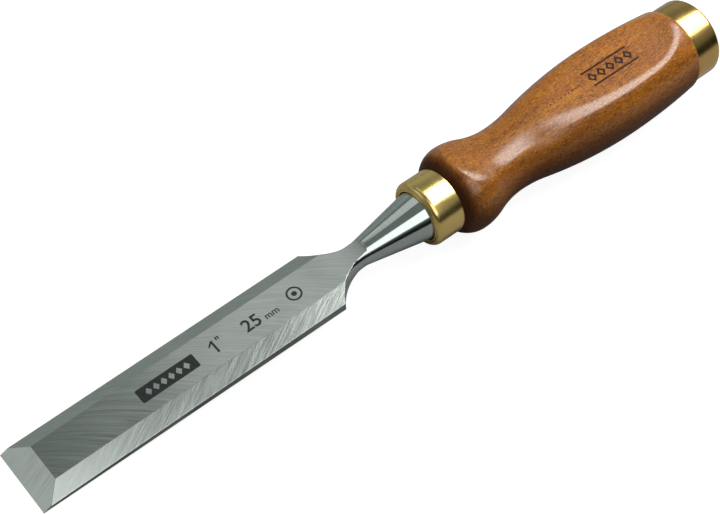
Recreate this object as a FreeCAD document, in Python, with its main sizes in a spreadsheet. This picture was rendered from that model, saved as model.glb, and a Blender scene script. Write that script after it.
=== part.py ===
"""Bench chisel, 25 mm wide, with a brass ferrule and a brass hoop on a turned and flattened handle.

Frame: +X runs from the cutting edge to the struck end, +Z is up out of the bevelled side, and the origin is
the middle of the cutting edge. The flat back of the blade lies in the plane z = 0, and the axis of the neck,
ferrule, handle and hoop runs along X at the height axis_height. All sizes are in millimetres.
"""
import FreeCAD, Part
import math
import os
import Sketcher

# Driving dimensions: alias, value, meaning. Every position is a distance from the cutting edge along X.
SIZES = [
    ("blade_width", 25.0, "width of the blade, its nominal size"),
    ("blade_length", 114.0, "cutting edge to the corner of the shoulder"),
    ("edge_angle", 25.0, "grinding angle of the cutting bevel, in degrees"),
    ("edge_thickness", 3.65, "thickness that the top face would have at the cutting edge"),
    ("shoulder_thickness", 5.7, "thickness of the blade at the shoulder"),
    ("side_bevel_width", 5.5, "width of each side bevel, seen from above"),
    ("side_bevel_drop", 2.4, "height of the top face above the side land"),
    ("shoulder_radius", 18.5, "hollow of the turned shoulder between blade and neck"),
    ("shoulder_end_radius", 4.3, "radius of the turned shoulder where it reaches the neck"),
    ("shoulder_tilt", 5.7, "dip of the shoulder's own axis towards the blade, in degrees"),
    ("axis_height", 3.7, "height of the tool's axis above the flat back"),
    ("neck_start", 113.0, "where the round neck begins inside the blade"),
    ("neck_start_radius", 3.6, "radius of the neck where it begins"),
    ("neck_position", 129.0, "the narrowest place of the neck"),
    ("neck_radius", 4.5, "radius of the narrowest place"),
    ("neck_hollow", 6.0, "hollow between the neck and the bolster's cone"),
    ("top_rise_start", 114.0, "where the top face begins to curve up into the neck"),
    ("top_end", 130.5, "where the ground top face stops, at a small step"),
    ("top_end_height", 7.45, "height of the top face at the step"),
    ("bolster_radius", 9.2, "largest radius of the conical bolster"),
    ("tang_root", 8.0, "side of the square tang at the bolster"),
    ("tang_tip", 4.0, "side of the square tang at its end"),
    ("tang_length", 62.0, "length of the tang inside the handle"),
    ("tang_clearance", 0.1, "gap on each side of the tang in its hole"),
    ("ferrule_front", 154.0, "front face of the ferrule"),
    ("ferrule_length", 11.5, "length of the ferrule"),
    ("ferrule_radius", 12.0, "outer radius of the ferrule"),
    ("ferrule_wall", 1.2, "wall of the ferrule and thickness of its lip"),
    ("ferrule_rounding", 2.0, "rounding between the lip and the outer wall"),
    ("ferrule_mouth", 9.25, "radius of the hole in the lip"),
    ("dome_radius", 9.5, "rounding of the handle's front shoulder"),
    ("bulge_position", 173.0, "crest of the front bulge"),
    ("bulge_radius", 16.1, "radius of the handle at the front bulge"),
    ("bulge_curve", 22.0, "curvature radius behind the crest of the bulge"),
    ("waist_position", 193.0, "narrowest place of the handle"),
    ("waist_radius", 12.35, "radius of the handle at the waist"),
    ("waist_curve", 55.0, "curvature radius behind the waist"),
    ("belly_position", 244.0, "crest of the handle's long belly"),
    ("belly_radius", 17.75, "radius of the handle at the belly"),
    ("belly_curve", 270.0, "curvature radius behind the crest of the belly"),
    ("flat_waist_height", 11.4, "height of the handle's flats above the axis at the waist"),
    ("flat_front_curve", 66.0, "curvature radius of the flats ahead of the waist"),
    ("flat_rear_curve", 100.0, "curvature radius of the flats just behind the waist"),
    ("flat_crest_position", 225.0, "where the flats become level"),
    ("flat_crest_height", 13.1, "height of the flats above the axis from there on"),
    ("flat_sweep_start", 255.5, "where the flats begin to sweep up to the handle's rear"),
    ("flat_sweep_curve", 45.0, "curvature radius of that sweep"),
    ("hoop_front", 275.0, "front edge of the hoop"),
    ("hoop_length", 11.5, "length of the hoop"),
    ("hoop_radius", 15.0, "outer radius of the hoop"),
    ("hoop_wall", 1.3, "wall of the hoop"),
    ("hoop_rounding", 1.1, "rounding of the hoop's rear edge"),
    ("handle_rear_rounding", 1.2, "rounding of the handle's step down to the hoop"),
    ("handle_end", 287.0, "struck end of the handle"),
    ("handle_end_rounding", 1.0, "rounding of the struck end's rim"),
]
SIZE = {alias: value for alias, value, _ in SIZES}

START, END, CENTRE = 1, 2, 3        # a sketch element's points
X_AXIS, Y_AXIS = -1, -2             # a sketch's own axes
CUT_ABOVE = 30.0                    # a cutting outline reaches this far above the axis, clear of everything


def make_sheet(doc):
    """Writes the driving dimensions to the spreadsheet, one row each."""
    sheet = doc.addObject("Spreadsheet::Sheet", "Sizes")
    for row, (alias, value, meaning) in enumerate(SIZES, start=1):
        sheet.set(f"A{row}", meaning)
        sheet.set(f"B{row}", str(value))
        sheet.setAlias(f"B{row}", alias)
    doc.recompute()


def make_body(doc, name):
    """Starts a sub-part."""
    body = doc.addObject("PartDesign::Body", name)
    body.Label = name
    return body


def make_axis_body(doc, name):
    """Starts a sub-part whose own X axis is the tool's axis."""
    body = make_body(doc, name)
    body.setExpression("Placement.Base.z", "Sizes.axis_height")
    return body


def origin_plane(body, role):
    """Returns one of the body's own origin planes."""
    return next(item for item in body.Origin.OriginFeatures if item.Role == role)


def make_sketch(body, name, role, height=None, distance=None):
    """Adds a sketch on an origin plane, raised by height in its own Y and moved by distance along its normal."""
    sketch = body.newObject("Sketcher::SketchObject", name)
    sketch.AttachmentSupport = [(origin_plane(body, role), "")]
    sketch.MapMode = "FlatFace"
    if height:
        sketch.setExpression("AttachmentOffset.Base.y", height)
    if distance:
        sketch.setExpression("AttachmentOffset.Base.z", distance)
    return sketch


def point(x, y):
    return FreeCAD.Vector(x, y, 0)


def line(start, end):
    return Part.LineSegment(point(*start), point(*end))


def arc(centre, radius, first, last):
    """Returns a counter-clockwise arc between two angles in degrees."""
    circle = Part.Circle(point(*centre), FreeCAD.Vector(0, 0, 1), radius)
    return Part.ArcOfCircle(circle, math.radians(first), math.radians(last))


def polygon(sketch, corners):
    """Draws a closed outline of straight edges and joins its corners."""
    edges = list(zip(corners, corners[1:] + corners[:1]))
    numbers = [sketch.addGeometry(line(a, b), False) for a, b in edges]
    for number, following in zip(numbers, numbers[1:] + numbers[:1]):
        sketch.addConstraint(Sketcher.Constraint("Coincident", number, END, following, START))
    return numbers


def pin(sketch, kind, where, formula):
    """Adds a dimension that starts at the drawn value and follows the sheet from then on."""
    if kind == "Radius":
        value = sketch.Geometry[where[0]].Radius
    else:
        ends = [sketch.getPoint(where[i], where[i + 1]) for i in range(0, len(where), 2)]
        gap = ends[-1] - (ends[0] if len(ends) == 2 else point(0, 0))
        value = gap.x if kind == "DistanceX" else gap.y
    number = sketch.addConstraint(Sketcher.Constraint(kind, *where, value))
    sketch.setExpression(f"Constraints[{number}]", formula)


def pin_point(sketch, element, end, x_formula, y_formula):
    """Ties a point's two distances from the sketch's origin to the sheet."""
    pin(sketch, "DistanceX", (element, end), x_formula)
    pin(sketch, "DistanceY", (element, end), y_formula)


def level(sketch, element):
    sketch.addConstraint(Sketcher.Constraint("Horizontal", element))


def upright(sketch, element):
    sketch.addConstraint(Sketcher.Constraint("Vertical", element))


def join(sketch, kind, first, first_end, second, second_end):
    """Joins two ends, with Coincident for a corner and Tangent for a smooth join."""
    sketch.addConstraint(Sketcher.Constraint(kind, first, first_end, second, second_end))


def revolve(body, name, sketch, kind="PartDesign::Revolution"):
    """Turns a sketch about its own horizontal axis, adding (Revolution) or removing (Groove) material."""
    feature = body.newObject(kind, name)
    feature.Profile = sketch
    feature.ReferenceAxis = (sketch, ["H_Axis"])
    feature.Angle = 360.0
    return feature


def loft(body, name, sections, kind="PartDesign::AdditiveLoft"):
    """Joins two sections with ruled faces."""
    feature = body.newObject(kind, name)
    feature.Profile = sections[0]
    feature.Sections = sections[1:]
    feature.Ruled = True
    return feature


def cut_through(body, name, sketch):
    """Cuts a sketch's outline right through the body, to both sides of the sketch."""
    feature = body.newObject("PartDesign::Pocket", name)
    feature.Profile = sketch
    feature.Type = "ThroughAll"
    feature.Midplane = True
    return feature


def require_smaller(doc, body, before, what):
    """Stops if a cut has removed nothing."""
    doc.recompute()
    if not body.Shape.Volume < before - 0.01:
        raise RuntimeError(f"{what} removed nothing")


# ---------------------------------------------------------------------------------------------- the blade

THICKNESS_SLOPE = "(Sizes.shoulder_thickness - Sizes.edge_thickness) / Sizes.blade_length"


def blade_blank(body):
    """A flat bar of the blade's width, thicker than the blade, from the cutting edge to the neck."""
    half, end = SIZE["blade_width"] / 2, SIZE["top_end"]
    sketch = make_sketch(body, "BlankOutline", "XY_Plane")
    edge, side, back, _ = polygon(sketch, [(0, half), (0, -half), (end, -half), (end, half)])
    level(sketch, side)
    sketch.addConstraint(Sketcher.Constraint("Symmetric", edge, START, edge, END, X_AXIS))
    sketch.addConstraint(Sketcher.Constraint("Symmetric", back, START, back, END, X_AXIS))
    pin(sketch, "DistanceX", (side, END), "Sizes.top_end")
    pin(sketch, "DistanceX", (side, START, side, END), "Sizes.top_end")
    pin(sketch, "DistanceY", (edge, END, edge, START), "Sizes.blade_width")
    pad = body.newObject("PartDesign::Pad", "BladeBlank")
    pad.Profile = sketch
    pad.setExpression("Length", "2 * Sizes.top_end_height")
    return pad


def bevel_section(body, name, distance, rise, rise_formula):
    """The triangle cut away above one side bevel, from the blade's middle line to well outside its side."""
    half, width, drop = SIZE["blade_width"] / 2, SIZE["side_bevel_width"], SIZE["side_bevel_drop"]
    land = SIZE["edge_thickness"] + rise - drop
    land_formula = f"(Sizes.edge_thickness + {rise_formula} - Sizes.side_bevel_drop)"
    ridge, outer = land + half * drop / width, half + width
    ridge_formula = f"{land_formula} + Sizes.blade_width / 2 * Sizes.side_bevel_drop / Sizes.side_bevel_width"
    sketch = make_sketch(body, name, "YZ_Plane", distance=distance)
    slope, wall, lid = polygon(sketch, [(0, ridge), (outer, land - drop), (outer, ridge)])
    upright(sketch, wall)
    level(sketch, lid)
    sketch.addConstraint(Sketcher.Constraint("PointOnObject", slope, START, Y_AXIS))
    pin(sketch, "DistanceY", (slope, START), ridge_formula)
    pin_point(sketch, slope, END, "Sizes.blade_width / 2 + Sizes.side_bevel_width",
              f"{land_formula} - Sizes.side_bevel_drop")
    return sketch


def side_bevels(body):
    """The two side bevels, which climb with the top face so that they keep their width along the blade."""
    full_rise = (SIZE["shoulder_thickness"] - SIZE["edge_thickness"]) * SIZE["top_end"] / SIZE["blade_length"]
    sections = [bevel_section(body, "BevelAtEdge", "0 * Sizes.top_end", 0.0, "0 * Sizes.top_end"),
                bevel_section(body, "BevelAtNeck", "Sizes.top_end", full_rise,
                              f"Sizes.top_end * {THICKNESS_SLOPE}")]
    bevel = loft(body, "LeftSideBevel", sections, "PartDesign::SubtractiveLoft")
    mirrored = body.newObject("PartDesign::Mirrored", "RightSideBevel")
    mirrored.Originals = [bevel]
    mirrored.MirrorPlane = (origin_plane(body, "XZ_Plane"), [""])
    body.Tip = mirrored
    return mirrored


def shoulder_trim(body):
    """Everything outside the turned shoulder, which is hollow and runs from the blade's corners to the neck.

    The shoulder's own axis meets the tool's axis at the neck and dips from there towards the blade.
    """
    radius, end_radius = SIZE["shoulder_radius"], SIZE["shoulder_end_radius"]
    reach = 2.0 * SIZE["neck_hollow"]
    sketch = make_sketch(body, "ShoulderOutline", "XZ_Plane", height="Sizes.axis_height")
    sketch.setExpression("AttachmentOffset.Base.x", "Sizes.neck_position")
    sketch.setExpression("AttachmentOffset.Rotation.Angle", "Sizes.shoulder_tilt * 1 deg")
    hollow = sketch.addGeometry(arc((0, end_radius + radius), radius, 180, 270), False)
    corners = [(0, end_radius), (reach, end_radius), (reach, CUT_ABOVE), (-radius, CUT_ABOVE),
               (-radius, end_radius + radius)]
    edges = [sketch.addGeometry(line(a, b), False) for a, b in zip(corners, corners[1:])]
    join(sketch, "Coincident", hollow, END, edges[0], START)
    for first, second in zip(edges, edges[1:]):
        join(sketch, "Coincident", first, END, second, START)
    join(sketch, "Tangent", edges[-1], END, hollow, START)
    for number in (edges[0], edges[2]):
        level(sketch, number)
    for number in (edges[1], edges[3]):
        upright(sketch, number)
    pin(sketch, "Radius", (hollow,), "Sizes.shoulder_radius")
    sketch.addConstraint(Sketcher.Constraint("PointOnObject", hollow, END, Y_AXIS))
    sketch.addConstraint(Sketcher.Constraint("PointOnObject", hollow, CENTRE, Y_AXIS))
    pin(sketch, "DistanceY", (hollow, END), "Sizes.shoulder_end_radius")
    pin(sketch, "DistanceX", (edges[0], START, edges[0], END), "2 * Sizes.neck_hollow")
    pin(sketch, "DistanceY", (edges[2], START), str(CUT_ABOVE))
    return revolve(body, "ShoulderTrim", sketch, "PartDesign::Groove")


def neck_and_bolster(body):
    """The round neck, which grows out of the blade, and the conical bolster up to the handle's front."""
    start = (SIZE["neck_start"], SIZE["neck_start_radius"])
    neck = (SIZE["neck_position"], SIZE["neck_radius"])
    hollow = SIZE["neck_hollow"]
    end = SIZE["ferrule_front"] + SIZE["ferrule_wall"]
    run, rise = neck[0] - start[0], neck[1] - start[1]
    swell = (run ** 2 + rise ** 2) / (2 * rise)
    # The cone's tangent from its rear rim to the hollow's circle
    centre = (neck[0], neck[1] + hollow)
    to_rim = (end - centre[0], SIZE["bolster_radius"] - centre[1])
    rim_angle = math.degrees(math.atan2(to_rim[1], to_rim[0]))
    touch_angle = rim_angle - math.degrees(math.acos(hollow / math.hypot(*to_rim)))
    touch = (centre[0] + hollow * math.cos(math.radians(touch_angle)),
             centre[1] + hollow * math.sin(math.radians(touch_angle)))
    first = 90 + math.degrees(math.asin(run / swell))

    sketch = make_sketch(body, "NeckOutline", "XZ_Plane", height="Sizes.axis_height")
    nose = sketch.addGeometry(line((start[0], 0), start), False)
    taper = sketch.addGeometry(arc((neck[0], neck[1] - swell), swell, 90, first), False)
    bend = sketch.addGeometry(arc(centre, hollow, 270, 360 + touch_angle), False)
    cone = sketch.addGeometry(line(touch, (end, SIZE["bolster_radius"])), False)
    back = sketch.addGeometry(line((end, SIZE["bolster_radius"]), (end, 0)), False)
    axis = sketch.addGeometry(line((end, 0), (start[0], 0)), False)
    join(sketch, "Coincident", nose, END, taper, END)
    join(sketch, "Coincident", taper, START, bend, START)
    join(sketch, "Tangent", bend, END, cone, START)
    join(sketch, "Coincident", cone, END, back, START)
    join(sketch, "Coincident", back, END, axis, START)
    join(sketch, "Coincident", axis, END, nose, START)
    upright(sketch, nose)
    upright(sketch, back)
    sketch.addConstraint(Sketcher.Constraint("PointOnObject", axis, START, X_AXIS))
    sketch.addConstraint(Sketcher.Constraint("PointOnObject", axis, END, X_AXIS))
    pin_point(sketch, nose, END, "Sizes.neck_start", "Sizes.neck_start_radius")
    pin_point(sketch, bend, START, "Sizes.neck_position", "Sizes.neck_radius")
    pin(sketch, "DistanceX", (bend, CENTRE), "Sizes.neck_position")
    pin(sketch, "DistanceX", (taper, CENTRE), "Sizes.neck_position")
    pin(sketch, "Radius", (bend,), "Sizes.neck_hollow")
    pin_point(sketch, cone, END, "Sizes.ferrule_front + Sizes.ferrule_wall", "Sizes.bolster_radius")
    return revolve(body, "NeckAndBolster", sketch)


def top_face(body):
    """Everything above the ground top face, which curves up into the neck and stops at a small step."""
    slope = (SIZE["shoulder_thickness"] - SIZE["edge_thickness"]) / SIZE["blade_length"]
    rise_start = (SIZE["top_rise_start"], SIZE["edge_thickness"] + slope * SIZE["top_rise_start"])
    end = (SIZE["top_end"], SIZE["top_end_height"])
    # The arc that leaves the sloping face smoothly and passes through the step's foot
    tilt = math.atan(slope)
    run, rise = end[0] - rise_start[0], end[1] - rise_start[1]
    across = rise * math.cos(tilt) - run * math.sin(tilt)
    radius = (run ** 2 + rise ** 2) / (2 * across)
    centre = (rise_start[0] - radius * math.sin(tilt), rise_start[1] + radius * math.cos(tilt))
    last = math.degrees(math.atan2(end[1] - centre[1], end[0] - centre[0]))
    front = -5.0
    front_height = SIZE["edge_thickness"] + slope * front

    sketch = make_sketch(body, "TopOutline", "XZ_Plane")
    face = sketch.addGeometry(line((front, front_height), rise_start), False)
    curve = sketch.addGeometry(arc(centre, radius, 270 + math.degrees(tilt), 360 + last), False)
    step = sketch.addGeometry(line(end, (end[0], CUT_ABOVE)), False)
    lid = sketch.addGeometry(line((end[0], CUT_ABOVE), (front, CUT_ABOVE)), False)
    side = sketch.addGeometry(line((front, CUT_ABOVE), (front, front_height)), False)
    join(sketch, "Tangent", face, END, curve, START)
    join(sketch, "Coincident", curve, END, step, START)
    join(sketch, "Coincident", step, END, lid, START)
    join(sketch, "Coincident", lid, END, side, START)
    join(sketch, "Coincident", side, END, face, START)
    upright(sketch, step)
    upright(sketch, side)
    level(sketch, lid)
    pin(sketch, "DistanceX", (face, START, face, END), f"Sizes.top_rise_start + {-front}")
    pin(sketch, "DistanceY", (face, START, face, END), f"(Sizes.top_rise_start + {-front}) * {THICKNESS_SLOPE}")
    pin_point(sketch, face, END, "Sizes.top_rise_start",
              f"Sizes.edge_thickness + Sizes.top_rise_start * {THICKNESS_SLOPE}")
    pin_point(sketch, curve, END, "Sizes.top_end", "Sizes.top_end_height")
    pin(sketch, "DistanceY", (step, END), str(CUT_ABOVE))
    return cut_through(body, "TopFace", sketch)


def cutting_bevel(body):
    """The wedge above the cutting bevel, whose plane passes through the cutting edge."""
    reach = 12.0
    tangent = math.tan(math.radians(SIZE["edge_angle"]))
    sketch = make_sketch(body, "BevelOutline", "XZ_Plane")
    slope, lid, side = polygon(sketch, [(0, 0), (reach, reach * tangent), (0, reach * tangent)])
    sketch.addConstraint(Sketcher.Constraint("Coincident", slope, START, X_AXIS, START))
    level(sketch, lid)
    upright(sketch, side)
    pin(sketch, "DistanceX", (slope, END), str(reach))
    pin(sketch, "DistanceY", (slope, END), f"{reach} * tan(Sizes.edge_angle * 1 deg)")
    return cut_through(body, "CuttingBevel", sketch)


def square_section(body, name, place, side_value, side_formula, height=None):
    """A square on the tool's axis, across it."""
    half = side_value / 2
    sketch = make_sketch(body, name, "YZ_Plane", height=height, distance=place)
    bottom, right, top, left = polygon(sketch, [(-half, -half), (half, -half), (half, half), (-half, half)])
    level(sketch, bottom)
    upright(sketch, right)
    level(sketch, top)
    sketch.addConstraint(Sketcher.Constraint("Symmetric", bottom, START, top, START, X_AXIS, START))
    pin(sketch, "DistanceX", (bottom, START, bottom, END), side_formula)
    pin(sketch, "DistanceY", (right, START, right, END), side_formula)
    return sketch


def build_blade(doc):
    """The forging: blade, shoulders, neck, bolster and tang in one piece of steel."""
    body = make_body(doc, "blade")
    blade_blank(body)
    doc.recompute()
    for cut, what in ((side_bevels, "the side bevels"), (shoulder_trim, "the shoulder trim")):
        before = body.Shape.Volume
        cut(body)
        require_smaller(doc, body, before, what)
    neck_and_bolster(body)
    doc.recompute()
    for cut, what in ((top_face, "the top face"), (cutting_bevel, "the cutting bevel")):
        before = body.Shape.Volume
        cut(body)
        require_smaller(doc, body, before, what)
    root = "Sizes.ferrule_front + Sizes.ferrule_wall"
    tang = [square_section(body, "TangRoot", root, SIZE["tang_root"], "Sizes.tang_root", "Sizes.axis_height"),
            square_section(body, "TangTip", f"{root} + Sizes.tang_length", SIZE["tang_tip"], "Sizes.tang_tip",
                           "Sizes.axis_height")]
    loft(body, "Tang", tang)
    return body


# --------------------------------------------------------------------------------------- ferrule and hoop

def build_ferrule(doc):
    """The drawn brass cup round the front of the handle, with a lip turned in to the bolster."""
    front, rear = SIZE["ferrule_front"], SIZE["ferrule_front"] + SIZE["ferrule_length"]
    outer, rounding = SIZE["ferrule_radius"], SIZE["ferrule_rounding"]
    inner, mouth = outer - SIZE["ferrule_wall"], SIZE["ferrule_mouth"]
    seat = front + SIZE["ferrule_wall"]
    body = make_axis_body(doc, "front_ferrule")
    sketch = make_sketch(body, "FerruleOutline", "XZ_Plane")
    lip = sketch.addGeometry(line((front, mouth), (front, outer - rounding)), False)
    corner = sketch.addGeometry(arc((front + rounding, outer - rounding), rounding, 90, 180), False)
    wall = sketch.addGeometry(line((front + rounding, outer), (rear, outer)), False)
    edge = sketch.addGeometry(line((rear, outer), (rear, inner)), False)
    bore = sketch.addGeometry(line((rear, inner), (seat, inner)), False)
    floor = sketch.addGeometry(line((seat, inner), (seat, mouth)), False)
    hole = sketch.addGeometry(line((seat, mouth), (front, mouth)), False)
    join(sketch, "Tangent", lip, END, corner, END)
    join(sketch, "Tangent", corner, START, wall, START)
    for first, second in ((wall, edge), (edge, bore), (bore, floor), (floor, hole), (hole, lip)):
        join(sketch, "Coincident", first, END, second, START)
    for number in (lip, edge, floor):
        upright(sketch, number)
    for number in (wall, bore, hole):
        level(sketch, number)
    pin_point(sketch, lip, START, "Sizes.ferrule_front", "Sizes.ferrule_mouth")
    pin(sketch, "Radius", (corner,), "Sizes.ferrule_rounding")
    pin_point(sketch, wall, END, "Sizes.ferrule_front + Sizes.ferrule_length", "Sizes.ferrule_radius")
    pin_point(sketch, floor, START, "Sizes.ferrule_front + Sizes.ferrule_wall",
              "Sizes.ferrule_radius - Sizes.ferrule_wall")
    revolve(body, "Ferrule", sketch)
    return body


def build_hoop(doc):
    """The brass ring that keeps the struck end of the handle from splitting."""
    front, rear = SIZE["hoop_front"], SIZE["hoop_front"] + SIZE["hoop_length"]
    outer, rounding = SIZE["hoop_radius"], SIZE["hoop_rounding"]
    inner = outer - SIZE["hoop_wall"]
    body = make_axis_body(doc, "end_hoop")
    sketch = make_sketch(body, "HoopOutline", "XZ_Plane")
    edge = sketch.addGeometry(line((front, inner), (front, outer)), False)
    wall = sketch.addGeometry(line((front, outer), (rear - rounding, outer)), False)
    corner = sketch.addGeometry(arc((rear - rounding, outer - rounding), rounding, 0, 90), False)
    back = sketch.addGeometry(line((rear, outer - rounding), (rear, inner)), False)
    bore = sketch.addGeometry(line((rear, inner), (front, inner)), False)
    join(sketch, "Coincident", edge, END, wall, START)
    join(sketch, "Tangent", wall, END, corner, END)
    join(sketch, "Tangent", corner, START, back, START)
    join(sketch, "Coincident", back, END, bore, START)
    join(sketch, "Coincident", bore, END, edge, START)
    for number in (edge, back):
        upright(sketch, number)
    for number in (wall, bore):
        level(sketch, number)
    pin_point(sketch, edge, START, "Sizes.hoop_front", "Sizes.hoop_radius - Sizes.hoop_wall")
    pin_point(sketch, corner, CENTRE, "Sizes.hoop_front + Sizes.hoop_length - Sizes.hoop_rounding",
              "Sizes.hoop_radius - Sizes.hoop_rounding")
    pin(sketch, "Radius", (corner,), "Sizes.hoop_rounding")
    revolve(body, "Hoop", sketch)
    return body


# --------------------------------------------------------------------------------------------- the handle

def wave(sketch, low, high, low_radius=None, high_radius=None):
    """Draws the two arcs of an S between two level places of an outline, given one arc's radius.

    low and high are the hollow's and the crest's places. The radii always add up to the same sum, so one
    follows from the other. Returns the hollow's arc and the crest's arc.
    """
    run, rise = high[0] - low[0], high[1] - low[1]
    total = (run ** 2 + rise ** 2) / (2 * rise)
    low_radius = low_radius or total - high_radius
    high_radius = total - low_radius
    turn = math.degrees(math.asin(abs(run) / total))
    low_centre = (low[0], low[1] + low_radius)
    high_centre = (high[0], high[1] - high_radius)
    if run > 0:
        hollow = sketch.addGeometry(arc(low_centre, low_radius, 270, 270 + turn), False)
        crest = sketch.addGeometry(arc(high_centre, high_radius, 90, 90 + turn), False)
        join(sketch, "Tangent", hollow, END, crest, END)
        ends = (START, START)
    else:
        hollow = sketch.addGeometry(arc(low_centre, low_radius, 270 - turn, 270), False)
        crest = sketch.addGeometry(arc(high_centre, high_radius, 90 - turn, 90), False)
        join(sketch, "Tangent", hollow, START, crest, START)
        ends = (END, END)
    return hollow, crest, ends


def turned_handle(body):
    """The turned blank: tenon, dome, bulge, waist, belly, rear step and the spigot inside the hoop."""
    tenon_front = SIZE["ferrule_front"] + SIZE["ferrule_wall"]
    tenon = SIZE["ferrule_radius"] - SIZE["ferrule_wall"]
    face = SIZE["ferrule_front"] + SIZE["ferrule_length"]
    bulge = (SIZE["bulge_position"], SIZE["bulge_radius"])
    waist = (SIZE["waist_position"], SIZE["waist_radius"])
    belly = (SIZE["belly_position"], SIZE["belly_radius"])
    dome = SIZE["dome_radius"]
    step, spigot = SIZE["hoop_front"], SIZE["hoop_radius"] - SIZE["hoop_wall"]
    end, rim = SIZE["handle_end"], SIZE["handle_end_rounding"]

    def belly_height(x):
        radius = SIZE["belly_curve"]
        return belly[1] - radius + math.sqrt(radius ** 2 - (x - belly[0]) ** 2)

    dome_centre = (bulge[0], bulge[1] - dome)
    dome_angle = math.degrees(math.acos((face - bulge[0]) / dome))
    face_radius = dome_centre[1] + dome * math.sin(math.radians(dome_angle))
    belly_angle = math.degrees(math.acos((step - belly[0]) / SIZE["belly_curve"]))

    sketch = make_sketch(body, "HandleOutline", "XZ_Plane")
    front = sketch.addGeometry(line((tenon_front, 0), (tenon_front, tenon)), False)
    tenon_wall = sketch.addGeometry(line((tenon_front, tenon), (face, tenon)), False)
    shoulder = sketch.addGeometry(line((face, tenon), (face, face_radius)), False)
    dome_arc = sketch.addGeometry(arc(dome_centre, dome, 90, dome_angle), False)
    waist_front, bulge_rear, front_ends = wave(sketch, waist, bulge, high_radius=SIZE["bulge_curve"])
    waist_rear, belly_front, rear_ends = wave(sketch, waist, belly, low_radius=SIZE["waist_curve"])
    belly_centre = (belly[0], belly[1] - SIZE["belly_curve"])
    belly_rear = sketch.addGeometry(arc(belly_centre, SIZE["belly_curve"], belly_angle, 90), False)
    rear_face = sketch.addGeometry(line((step, belly_height(step)), (step, spigot)), False)
    spigot_wall = sketch.addGeometry(line((step, spigot), (end - rim, spigot)), False)
    rim_arc = sketch.addGeometry(arc((end - rim, spigot - rim), rim, 0, 90), False)
    struck_face = sketch.addGeometry(line((end, spigot - rim), (end, 0)), False)
    axis = sketch.addGeometry(line((end, 0), (tenon_front, 0)), False)

    for first, first_end, second, second_end in (
            (front, END, tenon_wall, START), (tenon_wall, END, shoulder, START), (shoulder, END, dome_arc, END),
            (dome_arc, START, bulge_rear, front_ends[1]), (waist_front, front_ends[0], waist_rear, rear_ends[0]),
            (belly_front, rear_ends[1], belly_rear, END), (belly_rear, START, rear_face, START),
            (rear_face, END, spigot_wall, START), (struck_face, END, axis, START), (axis, END, front, START)):
        join(sketch, "Coincident", first, first_end, second, second_end)
    join(sketch, "Tangent", spigot_wall, END, rim_arc, END)
    join(sketch, "Tangent", rim_arc, START, struck_face, START)
    for number in (front, shoulder, rear_face, struck_face):
        upright(sketch, number)
    for number in (tenon_wall, spigot_wall):
        level(sketch, number)
    for end_point in (START, END):
        sketch.addConstraint(Sketcher.Constraint("PointOnObject", axis, end_point, X_AXIS))

    pin_point(sketch, front, END, "Sizes.ferrule_front + Sizes.ferrule_wall",
              "Sizes.ferrule_radius - Sizes.ferrule_wall")
    pin(sketch, "DistanceX", (shoulder, END), "Sizes.ferrule_front + Sizes.ferrule_length")
    pin_point(sketch, dome_arc, START, "Sizes.bulge_position", "Sizes.bulge_radius")
    pin_point(sketch, waist_rear, rear_ends[0], "Sizes.waist_position", "Sizes.waist_radius")
    pin_point(sketch, belly_rear, END, "Sizes.belly_position", "Sizes.belly_radius")
    for number, place in ((dome_arc, "bulge"), (bulge_rear, "bulge"), (waist_front, "waist"),
                          (waist_rear, "waist"), (belly_front, "belly"), (belly_rear, "belly")):
        pin(sketch, "DistanceX", (number, CENTRE), f"Sizes.{place}_position")
    for number, radius in ((dome_arc, "dome_radius"), (bulge_rear, "bulge_curve"), (waist_rear, "waist_curve"),
                           (belly_rear, "belly_curve"), (rim_arc, "handle_end_rounding")):
        pin(sketch, "Radius", (number,), f"Sizes.{radius}")
    pin_point(sketch, rear_face, END, "Sizes.hoop_front", "Sizes.hoop_radius - Sizes.hoop_wall")
    pin(sketch, "DistanceX", (struck_face, END), "Sizes.handle_end")
    return revolve(body, "TurnedHandle", sketch)


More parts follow.
